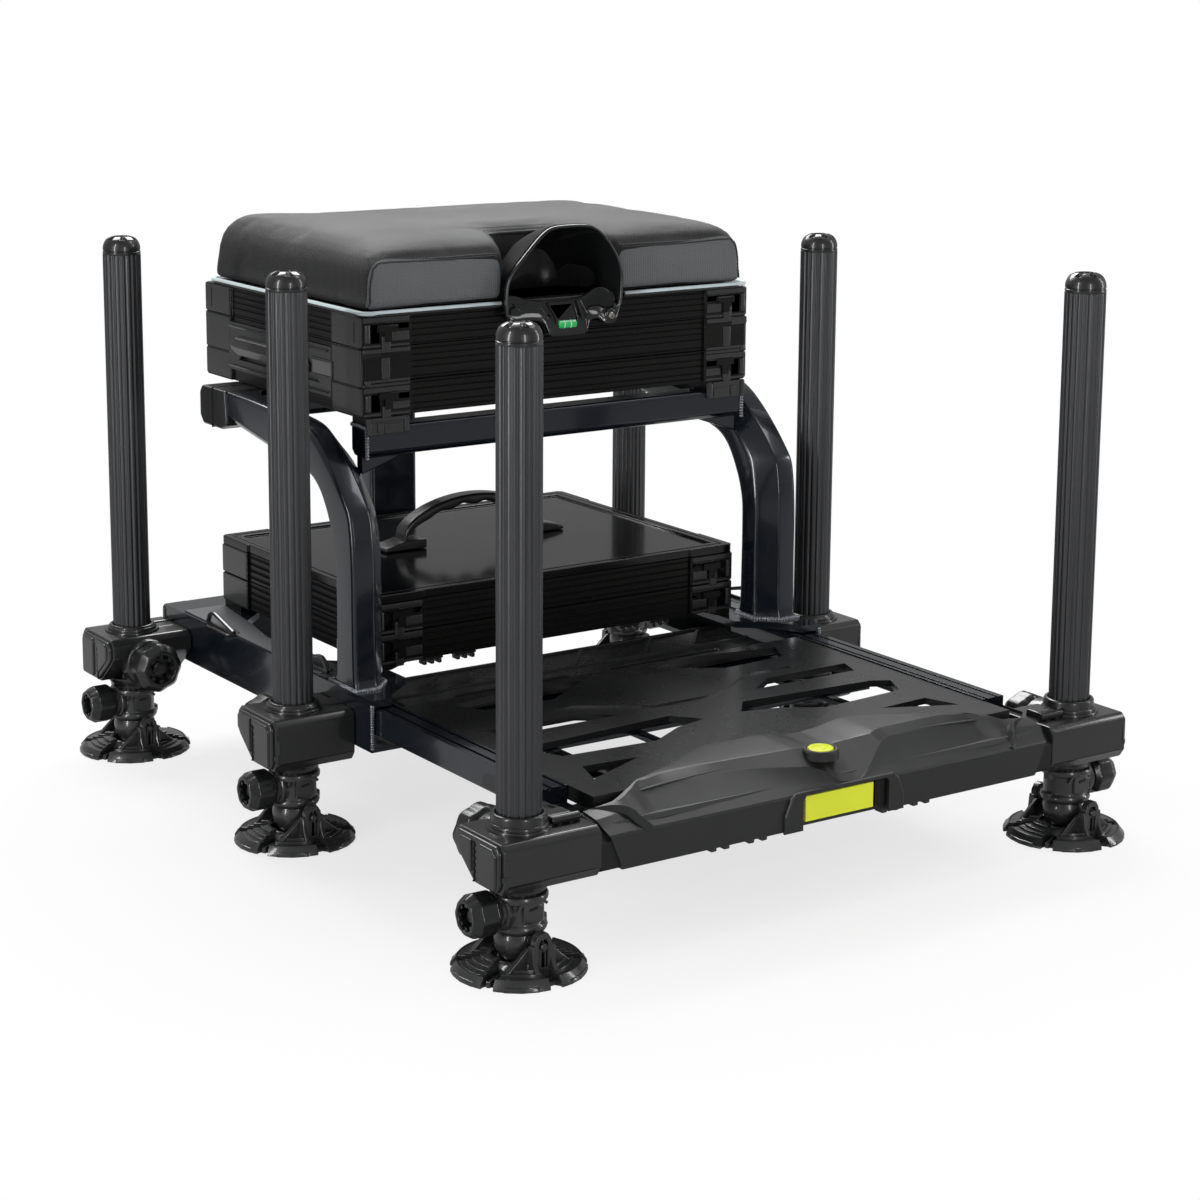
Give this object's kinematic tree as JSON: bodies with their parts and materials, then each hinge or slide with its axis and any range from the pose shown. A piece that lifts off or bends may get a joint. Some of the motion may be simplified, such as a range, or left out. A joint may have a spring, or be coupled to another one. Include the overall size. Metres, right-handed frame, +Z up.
{
  "type": "fishing seat box",
  "caption": "Seat box on telescopic screw-locked legs with a sliding footplate, padded lid seat with a pole socket, side drawer and a carry case under the seat.",
  "frame": {"origin": "on the ground, in the middle of the rectangle that the outer feet stand on", "axes": "+Z up, +X to the right of a person who looks from the footplate to the seat, -Y towards the footplate"},
  "size_m": [0.7028, 0.8036, 0.532],
  "materials": {
    "anodised_tube": "fluted extrusion, satin black anodised",
    "frame_paint": "gloss blue-black powder coat",
    "moulding": "fine grained black moulding",
    "deck_moulding": "satin black moulding",
    "gloss_moulding": "gloss black moulding",
    "extrusion": "grooved strip, black anodised",
    "lid_panel": "satin black panel",
    "seat_cover": "black woven top, grey front panels",
    "lime_moulding": "lime yellow moulding"
  },
  "bodies": {
    "frame": {"base_frame": "frame_paint", "seat_arch_left": "frame_paint", "seat_arch_right": "frame_paint", "front_cross_rail": "frame_paint", "rear_column": "frame_paint", "drawer_case": "extrusion", "top_tray": "extrusion", "corner_housing_middle_left": "moulding", "corner_housing_middle_right": "moulding", "corner_housing_rear_left": "moulding", "corner_housing_rear_right": "moulding"},
    "footplate": {"footplate_frame": "frame_paint", "footplate_deck": "deck_moulding", "beam_cover": "deck_moulding", "corner_housing_front_left": "moulding", "corner_housing_front_right": "moulding"},
    "pull": {"release_pull": "lime_moulding"},
    "seat_lid": {"cushion_base": "moulding", "seat_cushion": "seat_cover", "pole_socket": "gloss_moulding"},
    "side_drawer": {"drawer": "extrusion"},
    "carry_case": {"case_body": "extrusion"},
    "carry_case_lid": {"case_lid": "lid_panel", "carry_handle": "moulding"},
    "leg_front_left": {"leg_tube_front_left": "anodised_tube", "foot_clamp_front_left": "moulding"},
    "lock_front_left": {"housing_knob_front_left": "moulding"},
    "clamp_front_left": {"clamp_knob_front_left": "moulding"},
    "stem_front_left": {"foot_stem_front_left": "moulding"},
    "foot_front_left": {"foot_pad_front_left": "moulding"},
    "leg_front_right": {"leg_tube_front_right": "anodised_tube", "foot_clamp_front_right": "moulding"},
    "lock_front_right": {"housing_knob_front_right": "moulding"},
    "clamp_front_right": {"clamp_knob_front_right": "moulding"},
    "stem_front_right": {"foot_stem_front_right": "moulding"},
    "foot_front_right": {"foot_pad_front_right": "moulding"},
    "leg_middle_left": {"leg_tube_middle_left": "anodised_tube", "foot_clamp_middle_left": "moulding"},
    "lock_middle_left": {"housing_knob_middle_left": "moulding"},
    "clamp_middle_left": {"clamp_knob_middle_left": "moulding"},
    "stem_middle_left": {"foot_stem_middle_left": "moulding"},
    "foot_middle_left": {"foot_pad_middle_left": "moulding"},
    "leg_middle_right": {"leg_tube_middle_right": "anodised_tube", "foot_clamp_middle_right": "moulding"},
    "lock_middle_right": {"housing_knob_middle_right": "moulding"},
    "clamp_middle_right": {"clamp_knob_middle_right": "moulding"},
    "stem_middle_right": {"foot_stem_middle_right": "moulding"},
    "foot_middle_right": {"foot_pad_middle_right": "moulding"},
    "leg_rear_left": {"leg_tube_rear_left": "anodised_tube", "foot_clamp_rear_left": "moulding"},
    "lock_rear_left": {"housing_knob_rear_left": "moulding"},
    "clamp_rear_left": {"clamp_knob_rear_left": "moulding"},
    "stem_rear_left": {"foot_stem_rear_left": "moulding"},
    "foot_rear_left": {"foot_pad_rear_left": "moulding"},
    "leg_rear_right": {"leg_tube_rear_right": "anodised_tube", "foot_clamp_rear_right": "moulding"},
    "lock_rear_right": {"housing_knob_rear_right": "moulding"},
    "clamp_rear_right": {"clamp_knob_rear_right": "moulding"},
    "stem_rear_right": {"foot_stem_rear_right": "moulding"},
    "foot_rear_right": {"foot_pad_rear_right": "moulding"}
  },
  "joints": [
    {"name": "footplate_slide", "type": "slide", "parent": "frame", "child": "footplate", "axis": [0, 1, 0], "range_m": [0, 0.23]},
    {"name": "seat_lid_hinge", "type": "hinge", "parent": "frame", "child": "seat_lid", "pos_m": [0, 0.334, 0.46], "axis": [-1, 0, 0], "range_deg": [0, 90]},
    {"name": "drawer_slide", "type": "slide", "parent": "frame", "child": "side_drawer", "axis": [-1, 0, 0], "range_m": [0, 0.3]},
    {"name": "case_slide", "type": "slide", "parent": "frame", "child": "carry_case", "axis": [0, -1, 0], "range_m": [0, 0.35]},
    {"name": "case_lid_hinge", "type": "hinge", "parent": "carry_case", "child": "carry_case_lid", "pos_m": [0, 0.34, 0.198], "axis": [-1, 0, 0], "range_deg": [0, 18]},
    {"name": "pull_slide", "type": "slide", "parent": "footplate", "child": "pull", "axis": [0, -1, 0], "range_m": [0, 0.008], "stiffness_N_per_m": 500, "springref_m": -0.004},
    {"name": "leg_slide_front_left", "type": "slide", "parent": "footplate", "child": "leg_front_left", "axis": [0, 0, -1], "range_m": [0, 0.35]},
    {"name": "stem_slide_front_left", "type": "slide", "parent": "leg_front_left", "child": "stem_front_left", "axis": [0, 0, -1], "range_m": [0, 0.15]},
    {"name": "foot_tilt_front_left", "type": "hinge", "parent": "stem_front_left", "child": "foot_front_left", "pos_m": [-0.291, -0.3475, 0.025], "axis": [1, 0, 0], "range_deg": [-15, 15]},
    {"name": "housing_knob_turn_front_left", "type": "hinge", "parent": "footplate", "child": "lock_front_left", "pos_m": [-0.291, -0.3475, 0.095], "axis": [0, 1, 0], "range_deg": [0, 360]},
    {"name": "clamp_knob_turn_front_left", "type": "hinge", "parent": "leg_front_left", "child": "clamp_front_left", "pos_m": [-0.291, -0.3475, 0.051], "axis": [-1, 0, 0], "range_deg": [0, 360]},
    {"name": "leg_slide_rear_left", "type": "slide", "parent": "frame", "child": "leg_rear_left", "axis": [0, 0, -1], "range_m": [0, 0.35]},
    {"name": "housing_knob_turn_rear_left", "type": "hinge", "parent": "frame", "child": "lock_rear_left", "pos_m": [-0.297, 0.3475, 0.095], "axis": [0, -1, 0], "range_deg": [0, 360]},
    {"name": "leg_slide_middle_left", "type": "slide", "parent": "frame", "child": "leg_middle_left", "axis": [0, 0, -1], "range_m": [0, 0.35]},
    {"name": "leg_slide_front_right", "type": "slide", "parent": "footplate", "child": "leg_front_right", "axis": [0, 0, -1], "range_m": [0, 0.35]},
    {"name": "leg_slide_middle_right", "type": "slide", "parent": "frame", "child": "leg_middle_right", "axis": [0, 0, -1], "range_m": [0, 0.35]},
    {"name": "leg_slide_rear_right", "type": "slide", "parent": "frame", "child": "leg_rear_right", "axis": [0, 0, -1], "range_m": [0, 0.35]},
    {"name": "stem_slide_rear_left", "type": "slide", "parent": "leg_rear_left", "child": "stem_rear_left", "axis": [0, 0, -1], "range_m": [0, 0.15]},
    {"name": "stem_slide_middle_left", "type": "slide", "parent": "leg_middle_left", "child": "stem_middle_left", "axis": [0, 0, -1], "range_m": [0, 0.15]},
    {"name": "stem_slide_front_right", "type": "slide", "parent": "leg_front_right", "child": "stem_front_right", "axis": [0, 0, -1], "range_m": [0, 0.15]},
    {"name": "stem_slide_middle_right", "type": "slide", "parent": "leg_middle_right", "child": "stem_middle_right", "axis": [0, 0, -1], "range_m": [0, 0.15]},
    {"name": "stem_slide_rear_right", "type": "slide", "parent": "leg_rear_right", "child": "stem_rear_right", "axis": [0, 0, -1], "range_m": [0, 0.15]},
    {"name": "foot_tilt_rear_left", "type": "hinge", "parent": "stem_rear_left", "child": "foot_rear_left", "pos_m": [-0.297, 0.3475, 0.025], "axis": [1, 0, 0], "range_deg": [-15, 15]},
    {"name": "foot_tilt_middle_left", "type": "hinge", "parent": "stem_middle_left", "child": "foot_middle_left", "pos_m": [-0.2925, 0.02, 0.025], "axis": [1, 0, 0], "range_deg": [-15, 15]},
    {"name": "foot_tilt_front_right", "type": "hinge", "parent": "stem_front_right", "child": "foot_front_right", "pos_m": [0.291, -0.3475, 0.025], "axis": [1, 0, 0], "range_deg": [-15, 15]},
    {"name": "foot_tilt_middle_right", "type": "hinge", "parent": "stem_middle_right", "child": "foot_middle_right", "pos_m": [0.2925, 0.02, 0.025], "axis": [1, 0, 0], "range_deg": [-15, 15]},
    {"name": "foot_tilt_rear_right", "type": "hinge", "parent": "stem_rear_right", "child": "foot_rear_right", "pos_m": [0.297, 0.3475, 0.025], "axis": [1, 0, 0], "range_deg": [-15, 15]},
    {"name": "housing_knob_turn_middle_left", "type": "hinge", "parent": "frame", "child": "lock_middle_left", "pos_m": [-0.2925, 0.02, 0.095], "axis": [0, 1, 0], "range_deg": [0, 360]},
    {"name": "housing_knob_turn_front_right", "type": "hinge", "parent": "footplate", "child": "lock_front_right", "pos_m": [0.291, -0.3475, 0.095], "axis": [0, 1, 0], "range_deg": [0, 360]},
    {"name": "housing_knob_turn_middle_right", "type": "hinge", "parent": "frame", "child": "lock_middle_right", "pos_m": [0.2925, 0.02, 0.095], "axis": [0, 1, 0], "range_deg": [0, 360]},
    {"name": "housing_knob_turn_rear_right", "type": "hinge", "parent": "frame", "child": "lock_rear_right", "pos_m": [0.297, 0.3475, 0.095], "axis": [0, -1, 0], "range_deg": [0, 360]},
    {"name": "clamp_knob_turn_rear_left", "type": "hinge", "parent": "leg_rear_left", "child": "clamp_rear_left", "pos_m": [-0.297, 0.3475, 0.051], "axis": [-1, 0, 0], "range_deg": [0, 360]},
    {"name": "clamp_knob_turn_middle_left", "type": "hinge", "parent": "leg_middle_left", "child": "clamp_middle_left", "pos_m": [-0.2925, 0.02, 0.051], "axis": [-1, 0, 0], "range_deg": [0, 360]},
    {"name": "clamp_knob_turn_front_right", "type": "hinge", "parent": "leg_front_right", "child": "clamp_front_right", "pos_m": [0.291, -0.3475, 0.051], "axis": [1, 0, 0], "range_deg": [0, 360]},
    {"name": "clamp_knob_turn_middle_right", "type": "hinge", "parent": "leg_middle_right", "child": "clamp_middle_right", "pos_m": [0.2925, 0.02, 0.051], "axis": [1, 0, 0], "range_deg": [0, 360]},
    {"name": "clamp_knob_turn_rear_right", "type": "hinge", "parent": "leg_rear_right", "child": "clamp_rear_right", "pos_m": [0.297, 0.3475, 0.051], "axis": [1, 0, 0], "range_deg": [0, 360]}
  ]
}
